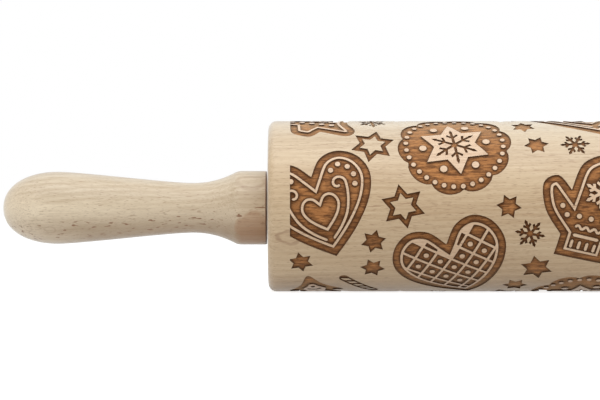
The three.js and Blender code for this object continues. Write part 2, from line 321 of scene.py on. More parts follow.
def pearls_along(outline, spacing, size, skip=0.0):
    """Round dots at even steps along a closed line, the first after a share of a step."""
    length = sum((end - start).length for start, end in sides_of(outline))
    count = round(length / spacing)
    pearls = []
    walked = skip * length / count
    for start, end in sides_of(outline):
        side = (end - start).length
        while walked < side:
            pearls.append(pearl(size, start.lerp(end, walked / side)))
            walked += length / count
        walked -= side
    return pearls[:count]


def with_room(dots, outlines, room):
    """The dots whose middle is further than that from every outline."""
    return [dot for dot in dots if all(distance_to(middle_of(dot), outline) > room for outline in outlines)]


def area_of(outline):
    return sum(a.x * b.y - b.x * a.y for a, b in sides_of(outline)) / 2


def clipped(outline, cell):
    """The part of an outline that lies in a cell, whose corners run anticlockwise."""
    for start, end in sides_of(cell):
        inward = Vector((start.y - end.y, end.x - start.x))
        depths = [(point - start).dot(inward) for point in outline]
        kept = []
        for i, point in enumerate(outline):
            if (depths[i - 1] < 0) != (depths[i] < 0):
                kept.append(outline[i - 1].lerp(point, depths[i - 1] / (depths[i - 1] - depths[i])))
            if depths[i] >= 0:
                kept.append(point)
        outline = kept
        if not outline:
            return []
    return outline


def quilt(outline, top, spacing, line_width, pearl_size):
    """Sunk diamonds between crossing lines, clipped to an outline, with a pearl in each nearly whole one."""
    cells_each_way = 6
    least_share, nearly_whole = 0.15, 0.9
    step = spacing / math.sqrt(2)
    half = (spacing - line_width) / math.sqrt(2)
    corners = [Vector((half, 0)), Vector((0, half)), Vector((-half, 0)), Vector((0, -half))]
    cells, pearls = [], []
    for i in range(-cells_each_way, cells_each_way + 1):
        for j in range(-cells_each_way, cells_each_way + 1):
            middle = Vector((step * (i + j), top - half + step * (i - j)))
            cell = clipped(outline, [middle + corner for corner in corners])
            share = area_of(cell) / (2 * half**2) if cell else 0
            if share > least_share:
                cells.append(cell)
            if share > nearly_whole:
                pearls.append(pearl(pearl_size, middle))
    return cells + pearls


def is_within(point, outline):
    """Whether a point lies inside a closed outline."""
    inside = False
    for a, b in sides_of(outline):
        spans_level = (a.y > point.y) != (b.y > point.y)
        if spans_level and point.x < a.x + (point.y - a.y) * (b.x - a.x) / (b.y - a.y):
            inside = not inside
    return inside


# Biscuits, about their own middle. In each, every outline inside another is by turns left standing and sunk.

def icing_line(edge):
    """The two outlines of a line of icing that follows a biscuit's edge."""
    line = inset(edge, ICING_INSET)
    return [line, inset(line, ICING_WIDTH)]


HEART_SHARES = [
    (0, 0.27), (-0.12, 0.42), (-0.29, 0.46), (-0.44, 0.36),
    (-0.5, 0.17), (-0.43, -0.04), (-0.26, -0.25), (0, -0.48),
]
HEART_PEARL_SIZE = 0.0019
HEART_PEARL_SPACING = 0.0037
HEART_PEARL_INSET = 0.0058
PEARL_ROOM = 0.0017
SMALL_HEART_SIZE = 0.0142
SMALL_HEART_DROP = 0.0025

# The ribbon's run and its curl, in shares of the biscuit
RIBBON_SHARES = [(0.036, -0.3), (0.122, -0.222), (0.206, -0.116), (0.252, 0.0), (0.274, 0.11)]
CURL_MIDDLE = (0.205, 0.152)
CURL_REACH = 0.072
CURL_TIGHTENING = 0.0092
CURL_START = -0.35
CURL_SWEEP = 5.2
CURL_STEPS = 12


def ribbon(side):
    """A piped ribbon that runs up one side of a heart and curls in."""
    line = smooth_run([Vector(share) for share in RIBBON_SHARES], steps=3)
    for step in range(CURL_STEPS + 1):
        turn = CURL_START + CURL_SWEEP * step / CURL_STEPS
        reach = CURL_REACH - CURL_TIGHTENING * (turn - CURL_START)
        line.append(Vector(CURL_MIDDLE) + reach * Vector((math.cos(turn), math.sin(turn))))
    outline = stroke(scaled(line, BISCUIT_SIZE), ICING_WIDTH)
    return outline if side > 0 else [Vector((-point.x, point.y)) for point in reversed(outline)]


def heart_biscuit():
    heart = mirrored_outline(HEART_SHARES, has_sharp_ends=True)
    edge = scaled(heart, BISCUIT_SIZE)
    small_heart = [point - Vector((0, SMALL_HEART_DROP)) for point in scaled(heart, SMALL_HEART_SIZE)]
    lines = icing_line(edge) + [small_heart, inset(small_heart, ICING_WIDTH), ribbon(1), ribbon(-1)]
    pearls = pearls_along(inset(edge, HEART_PEARL_INSET), HEART_PEARL_SPACING, HEART_PEARL_SIZE, skip=0.5)
    return [edge] + lines + with_room(pearls, lines, PEARL_ROOM)


def quilted_heart_biscuit():
    edge = scaled(mirrored_outline(HEART_SHARES, has_sharp_ends=True), BISCUIT_SIZE)
    line, inside = icing_line(edge)
    notch = min((point for point in inside if point.y > 0), key=lambda point: abs(point.x))
    return [edge, line] + quilt(inside, notch.y - ICING_WIDTH, QUILT_SPACING, ICING_WIDTH, HEART_PEARL_SIZE)


BELL_SHARES = [
    (0, 0.5), (-0.085, 0.46), (-0.08, 0.36), (-0.08, 0.36),
    (-0.2, 0.28), (-0.26, 0.08), (-0.3, -0.12), (-0.42, -0.26),
    (-0.38, -0.37), (-0.14, -0.38), (-0.14, -0.38), (-0.09, -0.48),
    (0, -0.5),
]
BELL_BAND_REACH = 0.0074
BELL_BAND_HEIGHT = -0.0044
BELL_BAND_SWING = 0.0007
BELL_PEARL_SIZE = 0.0021
BELL_PEARL_SPACING = 0.0038
BELL_PEARL_HEIGHT = -0.0086
BELL_STAR_SIZE = 0.0088
BELL_STAR_HEIGHT = 0.0026
BELL_STAR_TILT = 0.5
BELL_STAR_LINE = 0.0011


def bell_biscuit():
    edge = scaled(mirrored_outline(BELL_SHARES, has_sharp_ends=False), BISCUIT_SIZE)
    band_ends = (-BELL_BAND_REACH, BELL_BAND_HEIGHT), (BELL_BAND_REACH, BELL_BAND_HEIGHT)
    band = stroke(wave_line(*band_ends, waves=4, swing=BELL_BAND_SWING), PIPING_WIDTH)
    pearls = [pearl(BELL_PEARL_SIZE, (BELL_PEARL_SPACING * i, BELL_PEARL_HEIGHT)) for i in range(-2, 3)]
    star = star_outline(BELL_STAR_SIZE, (0, BELL_STAR_HEIGHT), BELL_STAR_TILT)
    return [edge] + icing_line(edge) + [band, star, inset(star, BELL_STAR_LINE)] + pearls


ROUND_STAR_SIZE = 0.62 * BISCUIT_SIZE
ROUND_FLAKE_SIZE = 0.0178
ROUND_PEARL_SIZE = 0.0017
ROUND_PEARL_SPACING = 0.0035
ROUND_PEARL_CIRCLE = 0.0352
LARGE_PEARL_SIZE = 0.0026
LARGE_PEARL_REACH = 0.0116


def round_biscuit():
    edge = scaled(scalloped_outline(), BISCUIT_SIZE)
    star = star_outline(ROUND_STAR_SIZE)
    flake = flake_outline(ROUND_FLAKE_SIZE, PIPING_WIDTH)
    circle = round_outline(ROUND_PEARL_CIRCLE, sides=60)
    pearls = pearls_along(circle, ROUND_PEARL_SPACING, ROUND_PEARL_SIZE)
    gaps = [math.pi / 6 + math.pi * i / 3 for i in range(6)]
    places = [(LARGE_PEARL_REACH * math.sin(gap), LARGE_PEARL_REACH * math.cos(gap)) for gap in gaps]
    return [edge, star, flake] + pearls + [round_outline(LARGE_PEARL_SIZE, place) for place in places]


FIR_SHARES = [
    (0, 0.5), (-0.1, 0.34), (-0.25, 0.17), (-0.15, 0.15),
    (-0.35, -0.09), (-0.22, -0.12), (-0.44, -0.36), (-0.11, -0.37),
    (-0.11, -0.37), (-0.11, -0.5), (-0.11, -0.5), (0, -0.5),
]
FIR_GARLANDS = [  # half width, height of the ends, sag
    (0.0023, 0.0095, 0.001),
    (0.0053, 0.0004, 0.002),
    (0.0077, -0.0095, 0.0024),
]
FIR_PEARL_SIZE = 0.0017
FIR_PEARLS = [
    (0, 0.0118), (0, 0.0043), (-0.0031, 0.0033), (0.0031, 0.0033),
    (-0.005, -0.0059), (-0.0017, -0.0052), (0.0017, -0.0052), (0.005, -0.0059),
]


def fir_biscuit():
    edge = scaled(mirrored_outline(FIR_SHARES, has_sharp_ends=False), BISCUIT_SIZE)
    garlands = [stroke(sagging_line(*garland), PIPING_WIDTH) for garland in FIR_GARLANDS]
    pearls = [pearl(FIR_PEARL_SIZE, place) for place in FIR_PEARLS]
    return [edge, inset(edge, ICING_INSET)] + garlands + pearls


MITTEN_SHARES = [
    (-0.2, -0.5), (-0.2, -0.5), (0.24, -0.5), (0.24, -0.5),
    (0.24, -0.3), (0.24, -0.3), (0.3, 0), (0.27, 0.34),
    (0.06, 0.5), (-0.15, 0.37), (-0.2, 0.1), (-0.2, 0.1),
    (-0.34, 0.2), (-0.45, 0.1), (-0.38, -0.12), (-0.2, -0.3),
    (-0.2, -0.3),
]
CUFF_LINE = [(-0.0034, -0.0116), (0.0052, -0.0116)]
CUFF_LINE_WIDTH = 0.0011
CUFF_RIBS = (-0.0034, -0.0006, 0.0022, 0.005)
CUFF_RIB_LOW = -0.0163
CUFF_RIB_HIGH = -0.0139
KNIT_LINE = [(-0.0036, -0.0084), (0.0054, -0.0084)]
KNIT_LINE_WIDTH = 0.0009
KNIT_SWING = 0.0006
MITTEN_FLAKE_SIZE = 0.0124
MITTEN_FLAKE_PLACE = (0.0022, 0.0055)
MITTEN_FLAKE_TILT = 0.2
MITTEN_PEARL_SIZE = 0.0018
MITTEN_PEARLS = [
    (-0.0034, -0.0045), (0.001, -0.0045), (0.0054, -0.0045), (-0.0078, -0.005),
    (-0.0101, -0.0022),
]


def mitten_biscuit():
    edge = scaled(smooth_outline(MITTEN_SHARES), BISCUIT_SIZE)
    cuff = stroke(CUFF_LINE, CUFF_LINE_WIDTH)
    ribs = [stroke([(x, CUFF_RIB_LOW), (x, CUFF_RIB_HIGH)], PIPING_WIDTH) for x in CUFF_RIBS]
    knit = stroke(wave_line(*KNIT_LINE, waves=3, swing=KNIT_SWING), KNIT_LINE_WIDTH)
    flake = flake_outline(MITTEN_FLAKE_SIZE, PIPING_WIDTH, MITTEN_FLAKE_PLACE, MITTEN_FLAKE_TILT)
    pearls = [pearl(MITTEN_PEARL_SIZE, place) for place in MITTEN_PEARLS]
    return [edge] + icing_line(edge) + [cuff, knit, flake] + ribs + pearls


# What lies between the biscuits

STRIPE_SHARES = (-0.84, -0.42, 0, 0.42, 0.84)  # places from the stick's middle to its rounded end


def striped_stick():
    """A stick of sugar with round ends and slanting stripes left standing."""
    half = STICK_LENGTH / 2 - STICK_WIDTH / 2
    end_radius = STICK_WIDTH / 2
    end_steps = 8
    edge = []
    for x, start in ((half, -math.pi / 2), (-half, math.pi / 2)):
        for step in range(end_steps + 1):
            turn = math.pi * step / end_steps + start
            edge.append(Vector((x + end_radius * math.cos(turn), end_radius * math.sin(turn))))
    height = 0.27 * STICK_WIDTH
    slant = 0.3 * STICK_WIDTH
    band = STRIPE_WIDTH / 2
    stripes = []
    for x in [half * share for share in STRIPE_SHARES]:
        low_side = [Vector((x - slant - band, -height)), Vector((x - slant + band, -height))]
        high_side = [Vector((x + slant + band, height)), Vector((x + slant - band, height))]
        stripes.append(low_side + high_side)
    return [edge] + stripes


# Pattern

BISCUITS = [  # the icings of each biscuit, which take turns along the roller, and its tilt
    ([heart_biscuit(), quilted_heart_biscuit()], 0.3),
    ([bell_biscuit()], -0.35),
    ([round_biscuit()], 0.15),
    ([fir_biscuit()], 0.22),
    ([mitten_biscuit()], -0.25),
]
SMALL_STAR = star_outline(SMALL_STAR_SIZE)
LARGE_STAR = star_outline(LARGE_STAR_SIZE)
STARS = [
    [SMALL_STAR],
    [LARGE_STAR, inset(LARGE_STAR, LARGE_STAR_LINE)],
    [SMALL_STAR],
    [star_outline(STAR_SIZE)],
]
STAR_TILT = 0.65
STAR_TILT_STEP = 0.2

# Each copy of a loose motif: its place along the roller, its place round it, and its tilt
STICK_COPIES = [
    (-0.0239, -0.087, 2.62), (0.0721, 0.013, 2.36), (0.0361, 0.040, 0.79), (-0.0829, -0.036, 2.36),
    (-0.0729, 0.061, 1.05), (0.0751, -0.037, 2.88),
]
FLAKE_COPIES = [
    (0.0271, -0.036, 0.2), (-0.0689, 0.084, 0.5), (-0.0779, 0.042, 0.1), (-0.0539, -0.049, 0.4),
    (0.0201, 0.089, 0.3), (-0.0049, 0.025, 0.6), (0.0671, -0.066, 0.2), (-0.0219, -0.010, 0.35),
]
STAR_COPIES = [
    (0.0291, -0.063, 0.2), (0.0271, -0.085, 0.7), (-0.0699, -0.085, 0.4), (-0.0229, 0.037, 0.1),
    (0.0181, -0.012, 0.5), (0.0731, 0.088, 0.3), (0.0941, 0.075, 0.6), (-0.1040, -0.022, 0.2),
    (-0.0069, -0.078, 0.4), (-0.0779, -0.013, 0.8), (0.0211, 0.062, 0.1), (-0.0259, -0.036, 0.5),
]
LOOSE_MOTIFS = [
    (striped_stick(), STICK_COPIES),
    ([flake_outline(LOOSE_FLAKE_SIZE, PIPING_WIDTH)], FLAKE_COPIES),
    ([star_outline(LOOSE_STAR_SIZE)], STAR_COPIES),
]


def placed(motif, along, round_place, tilt):
    """A motif's outlines, tilted and moved to their place on the sheet."""
    cosine, sine = math.cos(tilt), math.sin(tilt)
    moved = []
    for outline in motif:
        turned = [Vector((p.x * cosine - p.y * sine, p.x * sine + p.y * cosine)) for p in outline]
        moved.append([point + Vector((along, round_place)) for point in turned])
    return moved


def pattern():
    """The outlines of the biscuits, of what lies between them, and of the biscuits' edges."""
    row_spacing = CIRCUMFERENCE / ROWS
    columns = round(2 * PATTERN_END / COLUMN_SPACING) + 1
    biscuits, between, edges = [], [], []
    for column in range(columns):
        along = (column - (columns - 1) / 2) * COLUMN_SPACING
        for turn in range(-ROWS // 2 - 1, ROWS // 2 + 1):
            round_place = (turn + 0.5 * (column % 2)) * row_spacing
            row = turn % ROWS
            icings, tilt = BISCUITS[(2 * column + row) % len(BISCUITS)]
            motif = icings[column % len(icings)]
            biscuits += placed(motif, along, round_place, tilt)
            edges += placed(motif[:1], along, round_place, tilt)
            for side in (0, 1):
                gap = along + (2 * side - 1) * STAR_OFFSET * COLUMN_SPACING
                star = STARS[(row + 2 * column + side) % len(STARS)]
                if abs(gap) < PATTERN_END:
                    star_tilt = STAR_TILT + STAR_TILT_STEP * (row + side)
                    between += placed(star, gap, round_place + row_spacing / 2, star_tilt)
    for motif, copies in LOOSE_MOTIFS:
        for along, round_place, tilt in copies:
            for turn in (-1, 0, 1):
                between += placed(motif, along, round_place + turn * CIRCUMFERENCE, tilt)
    return biscuits, between, edges


# Modelling

def select_only(obj):
    bpy.ops.object.select_all(action="DESELECT")
    obj.select_set(True)
    bpy.context.view_layer.objects.active = obj


def edit(obj, kind="FACE", action="SELECT"):
    """Opens a piece in edit mode with all of it selected, or nothing."""
    select_only(obj)
    bpy.ops.object.mode_set(mode="EDIT")
    bpy.ops.mesh.select_mode(type=kind)
    bpy.ops.mesh.select_all(action=action)


def leave():
    bpy.ops.object.mode_set(mode="OBJECT")


def edit_chosen(obj, kind, is_chosen):
    """Opens a piece in edit mode with only the faces or edges selected that a test chooses."""
    edit(obj, kind, "DESELECT")
    leave()
    parts = obj.data.edges if kind == "EDGE" else obj.data.polygons
    for part in parts:
        part.select = is_chosen(part)
    bpy.ops.object.mode_set(mode="EDIT")


def settle(obj):
    """Puts a piece's place, turn and size into its mesh."""
    select_only(obj)
    bpy.ops.object.transform_apply(location=True, rotation=True, scale=True)


def merge_doubles(obj, distance=MERGE_DISTANCE):
    """Closes a piece where its points meet, and points its faces outwards."""
    edit(obj)
    bpy.ops.mesh.remove_doubles(threshold=distance)
    bpy.ops.mesh.normals_make_consistent(inside=False)
    leave()


def cut(obj, tool, operation="DIFFERENCE"):
    """Cuts a piece with a tool, which is then thrown away."""
    select_only(obj)
    modifier = obj.modifiers.new("cut", "BOOLEAN")
    modifier.object = tool
    modifier.operation = operation
    modifier.solver = "MANIFOLD"
    bpy.ops.object.modifier_apply(modifier=modifier.name)
    bpy.data.objects.remove(tool)


def dress(obj, *materials):
    obj.data.materials.clear()
    for material in materials:
        obj.data.materials.append(material)


def new_object(name, data):
    obj = bpy.data.objects.new(name, data)
    bpy.context.scene.collection.objects.link(obj)
    return obj


def block(name, middle, size):
    bpy.ops.mesh.primitive_cube_add(size=1, location=middle, scale=size)
    obj = bpy.context.object
    obj.name = obj.data.name = name
    settle(obj)
    return obj


# Roller

def engraving_tool(name, outlines):
    """What the engraving takes out of the sheet: flat art with a depth, cut square at the margins."""
    drawing = bpy.data.curves.new(name, "CURVE")
    drawing.dimensions = "2D"
    drawing.fill_mode = "BOTH"
    drawing.extrude = ENGRAVING_DEPTH
    for outline in outlines:
        spline = drawing.splines.new("POLY")
        spline.points.add(len(outline) - 1)
        for knot, place in zip(spline.points, outline):
            knot.co = (*place, 0, 1)
        spline.use_cyclic_u = True
    tool = new_object(name, drawing)
    tool.rotation_euler.x = math.pi / 2
    select_only(tool)
    bpy.ops.object.convert(target="MESH")
    tool = bpy.context.object
    settle(tool)
    merge_doubles(tool)
    cut(tool, block("pattern_band", (0, 0, 0), (2 * PATTERN_END, 1, 1)), "INTERSECT")
    return tool


def bevel_ends(sheet, depth, width, steps):
    """Rounds or chamfers the sheet's two end edges at a depth, which become the roller's end circles."""

    def is_end_edge(edge):
        start, end = (sheet.data.vertices[i].co for i in edge.vertices)
        runs_round = abs(start.x - end.x) < TINY and abs(start.y - end.y) < TINY
        return runs_round and abs(start.y - depth) < TINY and abs(start.x) > PATTERN_END

    edit_chosen(sheet, "EDGE", is_end_edge)
    bpy.ops.mesh.bevel(offset=width, segments=steps)
    leave()


def engraved_sheet(biscuits, between):
    """The roller's wood unrolled: X along it, Z round it, and Y into the wood from the rolling surface."""
    wall = ROLLER_RADIUS - BORE_RADIUS
    sheet = block("engraved_roller", (0, wall / 2, 0), (ROLLER_LENGTH, wall, CIRCUMFERENCE))
    bevel_ends(sheet, 0, END_ROUND, END_ROUND_STEPS)
    bevel_ends(sheet, wall, BORE_CHAMFER, 1)
    cut(sheet, engraving_tool("biscuit_cuts", biscuits))
    cut(sheet, engraving_tool("star_cuts", between))
    return sheet


def split_along(place, normal):
    """Splits all faces where a plane crosses them, and marks the split."""
    bpy.ops.mesh.select_all(action="SELECT")
    bpy.ops.mesh.bisect(plane_co=place, plane_no=normal, threshold=CUT_MARGIN)
    bpy.ops.mesh.mark_seam()


def split_in_strips(sheet):
    """Splits the sheet's faces into strips, with no other edge left inside a flat face."""
    edit(sheet, "EDGE")
    bpy.ops.mesh.dissolve_limited(angle_limit=FLAT_ANGLE)
    for strip in range(1, ROLL_STRIPS):
        split_along((0, 0, CIRCUMFERENCE * (strip / ROLL_STRIPS - 0.5)), (0, 0, 1))
    for end in (-PATTERN_END, PATTERN_END):
        split_along((end, 0, 0), (1, 0, 0))
    bpy.ops.mesh.select_all(action="SELECT")
    bpy.ops.mesh.dissolve_limited(angle_limit=FLAT_ANGLE, delimit={"SEAM", "NORMAL"})
    leave()


BURNT, SCORCHED, TOASTED = 1, 2, 3  # the roller's materials, after its plain wood


def finish_by_place(sheet, edges):
    """Burns the engraving's floor, scorches its walls and toasts what stands within the biscuits' edges."""
    biscuits = [(middle_of(edge), edge) for edge in edges]
    biscuit_reach = 0.6 * BISCUIT_SIZE
    for face in sheet.data.polygons:
        place = abs(face.center.x)
        depth = face.center.y
        if place < PATTERN_END + TINY and TINY < depth < ENGRAVING_DEPTH + TINY:
            face.material_index = BURNT if abs(face.normal.y) > SQUARELY else SCORCHED
        elif place < PATTERN_END and depth < TINY:
            corners = [sheet.data.vertices[i].co.xz for i in face.vertices]
            near = [edge for middle, edge in biscuits if (middle - corners[0]).length < biscuit_reach]
            if any(all(is_within(corner, edge) for corner in corners) for edge in near):
                face.material_index = TOASTED


def roll_up(sheet):
    """Bends the sheet right round, joins its two long sides and lays it on the table."""
    joint = CIRCUMFERENCE / 2 - MERGE_DISTANCE
    edit_chosen(sheet, "FACE", lambda face: abs(face.normal.z) > SQUARELY and abs(face.center.z) > joint)
    bpy.ops.mesh.delete(type="FACE")
    leave()
    bend = sheet.modifiers.new("roll up", "SIMPLE_DEFORM")
    bend.deform_method = "BEND"
    bend.deform_axis = "X"
    bend.angle = 2 * math.pi
    bpy.ops.object.modifier_apply(modifier=bend.name)
    merge_doubles(sheet, JOINT_MERGE_DISTANCE)
    sheet.location = (0, -ROLLER_RADIUS, ROLLER_HEIGHT)
    settle(sheet)


def engraved_roller(plain, burnt, scorched, toasted):
    biscuits, between, edges = pattern()
    sheet = engraved_sheet(biscuits, between)
    split_in_strips(sheet)
    dress(sheet, plain, burnt, scorched, toasted)
    finish_by_place(sheet, edges)
    roll_up(sheet)
    bpy.ops.object.shade_smooth_by_angle(angle=SMOOTH_ANGLE)
    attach(sheet, "roller")
    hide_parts("roller")


# Handles

def curve_points(knots, steps):
    """Points of a Bezier curve after its first one, from three or four knots."""
    knots = [Vector(knot) for knot in knots]
    points = []
    for step in range(1, steps + 1):
        line = knots
        while len(line) > 1:
            line = [a.lerp(b, step / steps) for a, b in zip(line, line[1:])]
        points.append(tuple(line[0]))
    return points


def handle_rings():
    """The handle's rings as (place, radius), from the socket's floor round to the domed end."""
    socket = AXLE_RADIUS + SOCKET_GAP
    shoulder_end = COLLAR_LENGTH + SHOULDER_LENGTH
    shoulder_radius = COLLAR_RADIUS - SHOULDER_DROP
    flare = NECK_POSITION - shoulder_end
    grip = GRIP_POSITION - NECK_POSITION
    dome = HANDLE_LENGTH - GRIP_POSITION
    rings = [(SOCKET_DEPTH, socket), (SOCKET_CHAMFER, socket), (0, socket + SOCKET_CHAMFER)]
    rings += [(0, COLLAR_RADIUS - FACE_RING), (0, COLLAR_RADIUS - COLLAR_CHAMFER)]
    rings += curve_points([rings[-1], (0, COLLAR_RADIUS), (COLLAR_CHAMFER, COLLAR_RADIUS)], steps=3)
    rings += [(COLLAR_LENGTH / 2, COLLAR_RADIUS), (COLLAR_LENGTH, COLLAR_RADIUS)]
    shoulder_curve = [
        (COLLAR_LENGTH, COLLAR_RADIUS),
        (COLLAR_LENGTH + SHOULDER_PULL * SHOULDER_LENGTH, COLLAR_RADIUS),
        (shoulder_end, shoulder_radius),
    ]
    flare_drop = FLARE_START_DROP * (shoulder_radius - NECK_RADIUS)
    flare_curve = [
        (shoulder_end, shoulder_radius),
        (shoulder_end + FLARE_START_PULL * flare, shoulder_radius - flare_drop),
        (NECK_POSITION - FLARE_END_PULL * flare, NECK_RADIUS),
        (NECK_POSITION, NECK_RADIUS),
    ]
    grip_curve = [
        (NECK_POSITION, NECK_RADIUS),
        (NECK_POSITION + GRIP_PULL * grip, NECK_RADIUS),
        (GRIP_POSITION - GRIP_PULL * grip, GRIP_RADIUS),
        (GRIP_POSITION, GRIP_RADIUS),
    ]
    for knots, steps in ((shoulder_curve, 5), (flare_curve, 12), (grip_curve, 18)):
        rings += curve_points(knots, steps)
    for step in range(1, DOME_STEPS):
        turn = math.pi / 2 * step / DOME_STEPS
        place = GRIP_POSITION + dome * math.sin(turn) ** DOME_LENGTH_POWER
        rings.append((place, GRIP_RADIUS * math.cos(turn) ** DOME_RADIUS_POWER))
    return rings


# The handle's flat face: darker end grain, partly painted shade of the gap to the roller.
END_GRAIN_AND_GAP_SHADE = 1  # the handle's second material


def extrude_along(distance):
    """Extrudes what is selected along X."""
    bpy.ops.mesh.extrude_region_move(TRANSFORM_OT_translate={"value": (distance, 0, 0)})


def turned_handle(name, face, side, material, end_and_gap_shade_material):
    """A handle on the axle's line, from its flat face outwards, with darker end grain at that face, darkened
    further as painted shade of the gap to the roller.
    """
    rings = handle_rings()
    first_place, first_radius = rings[0]
    bpy.ops.mesh.primitive_circle_add(
        vertices=HANDLE_SIDES,
        radius=first_radius,
        fill_type="NGON",
        location=(face + side * first_place, 0, AXLE_HEIGHT),
        rotation=(0, math.pi / 2, 0),
    )
    handle = bpy.context.object
    handle.name = handle.data.name = name
    settle(handle)
    edit(handle)
    bpy.ops.mesh.duplicate()
    for (place, radius), (next_place, next_radius) in zip(rings, rings[1:]):
        extrude_along(side * (next_place - place))
        scale = next_radius / radius
        bpy.ops.transform.resize(value=(1, scale, scale))
    extrude_along(side * (HANDLE_LENGTH - rings[-1][0]))
    bpy.ops.mesh.merge(type="CENTER")
    leave()
    merge_doubles(handle)
    bpy.ops.object.shade_smooth_by_angle(angle=SMOOTH_ANGLE)
    dress(handle, material, end_and_gap_shade_material)
    for polygon in handle.data.polygons:
        if abs(polygon.center.x - face) < COLLAR_CHAMFER:
            polygon.material_index = END_GRAIN_AND_GAP_SHADE
    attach(handle, "spindle")
    return handle


# Materials

def material_tree(name):
    material = bpy.data.materials.new(name)
    material.use_nodes = True
    tree = material.node_tree
    tree.nodes.clear()
    return material, tree


def new_node(tree, kind, inputs=(), **settings):
    """A shader node. An input is a socket to link, or a value."""
    node = tree.nodes.new("ShaderNode" + kind)
    for name, value in settings.items():
        setattr(node, name, value)
    for name, value in dict(inputs).items():
        if isinstance(value, bpy.types.NodeSocket):
            tree.links.new(value, node.inputs[name])
        else:
            node.inputs[name].default_value = value
    return node


def add(tree, kind, inputs=(), output=0, **settings):
    """Adds a shader node and gives one of its outputs."""
    return new_node(tree, kind, inputs, **settings).outputs[output]


def linear(red, green, blue):
    """A colour given as it shows on a screen, from 0 to 255."""
    shares = [channel / 255 for channel in (red, green, blue)]
    return [s / 12.92 if s <= 0.04045 else ((s + 0.055) / 1.055) ** 2.4 for s in shares] + [1]


def mixed(tree, factor, first, second):
    """A colour between two others. The Mix node keeps its colours in inputs 6 and 7 and output 2."""
    return add(tree, "Mix", {0: factor, 6: first, 7: second}, output=2, data_type="RGBA")


def stretched(tree, scale, move, turn=(0, 0, 0)):
    """Object coordinates, stretched along the grain."""
    place = add(tree, "TexCoord", output="Object")
    inputs = {"Vector": place, "Location": move, "Rotation": turn, "Scale": scale}
    return add(tree, "Mapping", inputs)


def noise(tree, scale, detail, roughness, move=(0, 0, 0)):
    inputs = {"Vector": stretched(tree, scale, move), "Scale": 1, "Detail": detail, "Roughness": roughness}
    return add(tree, "TexNoise", inputs)


def ramp(tree, value, low, high, to_low=0.0, to_high=1.0):
    inputs = {"Value": value, "From Min": low, "From Max": high, "To Min": to_low, "To Max": to_high}
    return add(tree, "MapRange", inputs)


def spread(tree, value, to_low=0.0, to_high=1.0):
    """A noise, most of which lies between 0.3 and 0.7, spread over a range."""
    return ramp(tree, value, 0.3, 0.7, to_low, to_high)


def product(tree, first, second):
    return add(tree, "Math", {0: first, 1: second}, operation="MULTIPLY")


def total(tree, first, second):
    return add(tree, "Math", {0: first, 1: second}, operation="ADD")


# Places in the wood, in Object coordinates. A layer lies between two depths across a direction.
Oval = namedtuple("Oval", "place size tint amount")
Layer = namedtuple("Layer", "direction low high softness tint amount", defaults=(None, 1))
Flecks = namedtuple("Flecks", "scale amount layer", defaults=(None,))

BEYOND = 1  # a depth that is further than the whole pin
FLECK_BROWN = linear(138, 97, 64)
FINE_FLECKS = Flecks((230, 2400, 2400), 0.5)

# Spots of each noise to the metre, along the grain and across it
BROAD_FIGURE = (11, 75, 75)
FINE_GRAIN = (28, 1500, 1500)
PORES = (420, 4200, 4200)
BURNT_STREAKS = (50, 900, 900)
BURNT_PATCHES = (170, 760, 760)
BURNT_FIBRES = (330, 2100, 2100)

# How strongly each shows in the bare wood
RING_AMOUNT = 0.2
BROAD_AMOUNT = 0.36
GRAIN_AMOUNT = 0.5
PORE_AMOUNT = 0.5

# Layers and patches of another tint: how the grain varies their amount, and how far a layer's faces wave
WEAKEST = 0.7
STRONGEST = 1.15
LAYER_WAVES = 0.004


def oval_reach(tree, oval):
    """The distance from an oval's middle, in shares of its size, and a slow noise that bends its lines."""
    place = add(tree, "TexCoord", output="Object")
    shift = add(tree, "VectorMath", {0: place, 1: oval.place}, operation="SUBTRACT")
    size_shares = [1 / size for size in oval.size]
    shares = add(tree, "VectorMath", {0: shift, 1: size_shares}, operation="MULTIPLY")
    bends = add(tree, "TexNoise", {"Vector": shares, "Scale": 1.6, "Detail": 2})
    return add(tree, "VectorMath", {0: shares}, output="Value", operation="LENGTH"), bends


def swirl(tree, oval):
    """A few nested growth lines about an oval's middle, from 0 to 1, which fade outwards."""
    unevenness, radians_outwards = 0.6, 11
    reach, bends = oval_reach(tree, oval)
    turns = product(tree, total(tree, reach, product(tree, bends, unevenness)), radians_outwards)
    lines = add(tree, "Math", {0: turns}, operation="SINE")
    return product(tree, ramp(tree, lines, 0.2, 1.0), ramp(tree, reach, 1.0, 0.5))


def patch(tree, oval):
    """From 0 to 1 within an uneven oval."""
    unevenness = 0.8
    reach, bends = oval_reach(tree, oval)
    return ramp(tree, total(tree, reach, product(tree, bends, unevenness)), 1.5, 1.3)


def within_layer(tree, layer, waviness):
    """From 0 to 1 within a layer of the wood, whose two faces are a little wavy."""
    place = add(tree, "TexCoord", output="Object")
    inputs = {0: place, 1: layer.direction}
    depth = add(tree, "VectorMath", inputs, output="Value", operation="DOT_PRODUCT")
    depth = total(tree, depth, product(tree, waviness, LAYER_WAVES))
    rise = ramp(tree, depth, layer.low - layer.softness, layer.low + layer.softness)
    fall = ramp(tree, depth, layer.high + layer.softness, layer.high - layer.softness)
    return product(tree, rise, fall)


def growth_rings(tree, place, turn):
    inputs = {
        "Vector": stretched(tree, (1, 1, 1), place, turn),
        "Scale": 130,
        "Distortion": 4.5,
        "Detail": 2,
        "Detail Scale": 0.3,
        "Detail Roughness": 0.55,
    }
    kind = {"wave_type": "RINGS", "rings_direction": "X", "wave_profile": "SIN"}
    return add(tree, "TexWave", inputs, output="Fac", **kind)


def fleck_share(tree, flecks, move, broad):
    """From 0 to 1 on short flecks, in their layer or, without one, where the broad figure is low."""
    spots = ramp(tree, noise(tree, flecks.scale, detail=1, roughness=0.4, move=move), 0.64, 0.7)
    where = within_layer(tree, flecks.layer, broad) if flecks.layer else ramp(tree, broad, 0.58, 0.4)
    return product(tree, product(tree, spots, where), flecks.amount)


